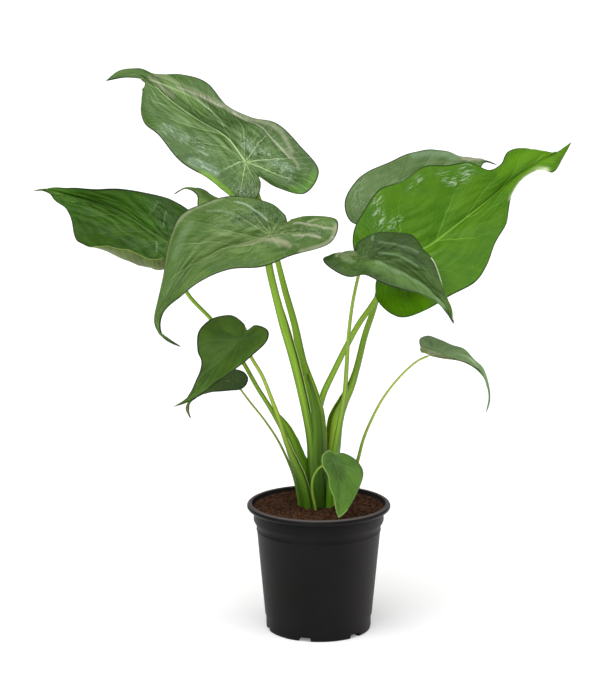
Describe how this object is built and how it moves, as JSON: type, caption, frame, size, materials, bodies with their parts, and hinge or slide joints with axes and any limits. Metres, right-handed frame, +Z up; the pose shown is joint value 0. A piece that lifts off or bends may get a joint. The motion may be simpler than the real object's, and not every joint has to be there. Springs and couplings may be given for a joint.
{
  "type": "potted alocasia",
  "caption": "Potted alocasia: heart-shaped leaves with long drip tips on slender stalks, rising from one clump in a round black nursery pot filled with soil.",
  "frame": {"origin": "centre of the pot's foot, on the surface that the pot stands on, which is the middle of the flat pad under its floor", "axes": "+Z up along the pot's axis, +X to the right and -Y towards the viewer as in the reference view"},
  "size_m": [0.6572, 0.3166, 0.6509],
  "materials": {
    "pot_plastic": "thin thermoformed black plastic, satin",
    "soil": "dark crumbly potting soil, matte",
    "rootstock": "brown fibrous corm, matte",
    "leaf_green": "dark green waxy leaf with paler veins, satin gloss",
    "young_leaf_green": "fresh green waxy leaf with paler veins, satin gloss",
    "stalk_green": "smooth yellow-green stalk, satin"
  },
  "bodies": {
    "root": {"pot": "pot_plastic", "soil": "soil", "rootstock": "rootstock", "upper_left_leaf_blade": "leaf_green", "upper_left_leaf_stalk": "stalk_green", "back_right_leaf_blade": "leaf_green", "back_right_leaf_stalk": "stalk_green", "right_leaf_blade": "young_leaf_green", "right_leaf_stalk": "stalk_green", "front_left_leaf_blade": "leaf_green", "front_left_leaf_stalk": "stalk_green", "front_right_leaf_blade": "leaf_green", "front_right_leaf_stalk": "stalk_green", "back_left_leaf_blade": "leaf_green", "back_left_leaf_stalk": "stalk_green", "small_left_leaf_blade": "leaf_green", "small_left_leaf_stalk": "stalk_green", "far_left_leaf_blade": "leaf_green", "far_left_leaf_stalk": "stalk_green", "low_left_leaf_blade": "leaf_green", "low_left_leaf_stalk": "stalk_green", "small_right_leaf_blade": "leaf_green", "small_right_leaf_stalk": "stalk_green", "front_small_leaf_blade": "young_leaf_green", "front_small_leaf_stalk": "stalk_green"}
  },
  "joints": []
}
